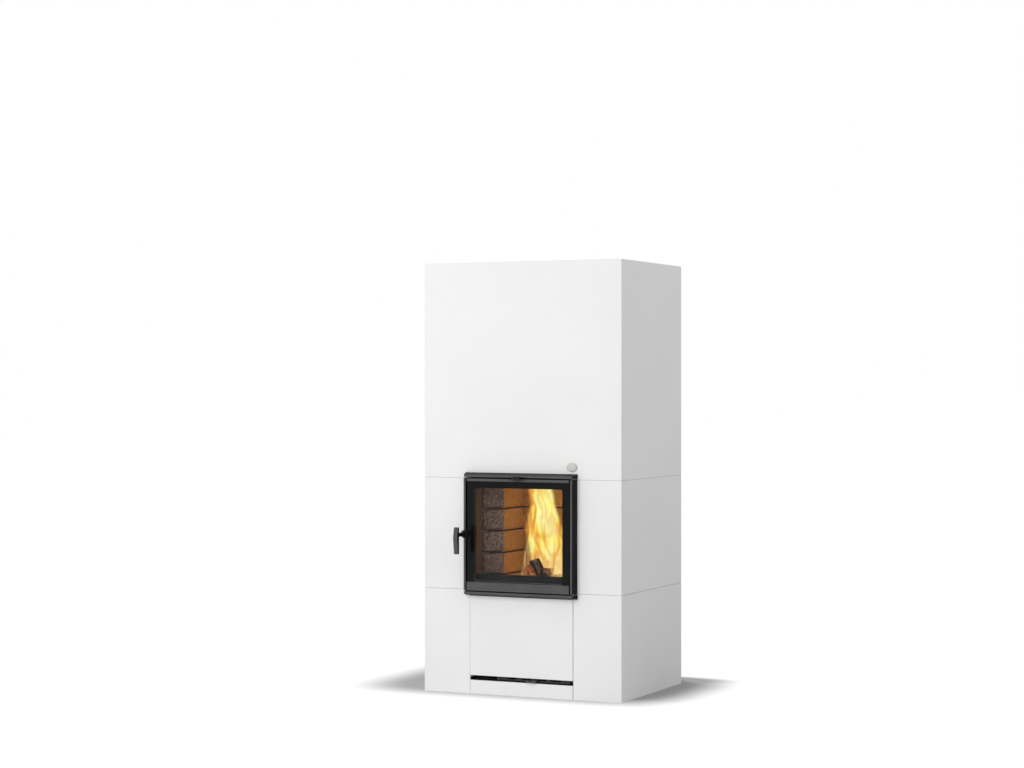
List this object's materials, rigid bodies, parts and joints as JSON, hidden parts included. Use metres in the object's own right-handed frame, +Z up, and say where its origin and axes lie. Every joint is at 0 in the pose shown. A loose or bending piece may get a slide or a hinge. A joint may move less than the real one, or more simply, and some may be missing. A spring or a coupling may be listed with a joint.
{
  "type": "heat-retaining stove",
  "caption": "Tall white heat-retaining stove with a glazed fire door, an air slot, a drop-down ash hatch, a coupled ash drawer, sliding air levers and a masonry core.",
  "frame": {"origin": "middle of the cladding's footprint, on the floor plane", "axes": "+Z up, -Y towards the fire door, +X to the right seen from the front"},
  "size_m": [0.8, 0.71, 1.604],
  "materials": {
    "cladding": "smooth white mineral paint, matt",
    "concrete": "cast heat-retaining concrete",
    "firebrick": "fired vermiculite-coloured refractory, rough",
    "insulation": "light calcium silicate board",
    "frame_steel": "grey stove paint, satin",
    "pale_metal": "pale grey lacquer, satin",
    "black_steel": "black stove paint, matt",
    "cast_iron": "cast, heat-darkened",
    "bright_steel": "brushed steel",
    "sheet_steel": "grey sheet steel",
    "stove_glass": "ceramic glass with a black printed border",
    "seal": "braided glass-fibre rope"
  },
  "bodies": {
    "root": {"base_left": "cladding", "base_right": "cladding", "base_back": "cladding", "kick_strip": "cladding", "mid_left": "cladding", "mid_right": "cladding", "mid_back": "cladding", "top_casing": "cladding", "top_back": "cladding", "cover_slab": "cladding", "foundation_slab": "concrete", "core_left": "concrete", "core_right": "concrete", "core_back": "concrete", "core_front": "concrete", "core_piers": "concrete", "core_top": "concrete", "hatch_lintel": "concrete", "inner_wall_left": "firebrick", "inner_wall_right": "firebrick", "inner_wall_back": "firebrick", "hearth_slab": "firebrick", "ceiling_slab": "firebrick", "firebox_floor": "firebrick", "lining_left": "firebrick", "lining_right": "firebrick", "lining_back": "firebrick", "insulation_board": "insulation", "frame_top_bar": "frame_steel", "frame_bottom_bar": "frame_steel", "badge_disc": "pale_metal", "frame_sleeve": "black_steel", "throat_left": "black_steel", "throat_right": "black_steel", "throat_top": "black_steel", "throat_sill": "black_steel", "log_retainer": "black_steel", "air_box": "black_steel", "grate": "cast_iron", "latch_keeper": "bright_steel", "door_hinge_pins": "bright_steel", "hatch_pins": "bright_steel", "flue_collar": "sheet_steel", "ash_housing": "sheet_steel"},
    "door": {"door_left_stile": "frame_steel", "door_right_stile": "frame_steel", "door_carrier": "black_steel", "door_top_rail": "frame_steel", "door_bottom_rail": "frame_steel", "door_glass": "stove_glass", "glass_tape": "seal", "door_rope": "seal", "handle_rosette": "frame_steel"},
    "handle": {"door_handle": "frame_steel", "latch_cam": "bright_steel"},
    "upper_air": {"upper_air_lever": "sheet_steel"},
    "lower_air": {"lower_air_lever": "sheet_steel"},
    "hatch": {"hatch_panel": "cladding", "hatch_frame": "black_steel"},
    "ash_drawer": {"ash_drawer": "sheet_steel"}
  },
  "joints": [
    {"name": "door_swing", "type": "hinge", "parent": "root", "child": "door", "pos_m": [0.2185, -0.32, 0.595], "axis": [0, 0, 1], "range_deg": [0, 110]},
    {"name": "handle_turn", "type": "hinge", "parent": "door", "child": "handle", "pos_m": [-0.217, -0.36, 0.595], "axis": [0, 1, 0], "range_deg": [0, 90]},
    {"name": "upper_air_slide", "type": "slide", "parent": "root", "child": "upper_air", "axis": [1, 0, 0], "range_m": [-0.015, 0.015]},
    {"name": "lower_air_slide", "type": "slide", "parent": "root", "child": "lower_air", "axis": [1, 0, 0], "range_m": [-0.095, 0.02]},
    {"name": "hatch_drop", "type": "hinge", "parent": "root", "child": "hatch", "pos_m": [0, -0.288, 0.077], "axis": [1, 0, 0], "range_deg": [0, 90]},
    {"name": "drawer_pull", "type": "slide", "parent": "root", "child": "ash_drawer", "axis": [0, -1, 0], "range_m": [0, 0.2515]}
  ],
  "couplings": [
    {"joint": "drawer_pull", "follows": "hatch_drop", "m_per_rad": 0.16}
  ]
}
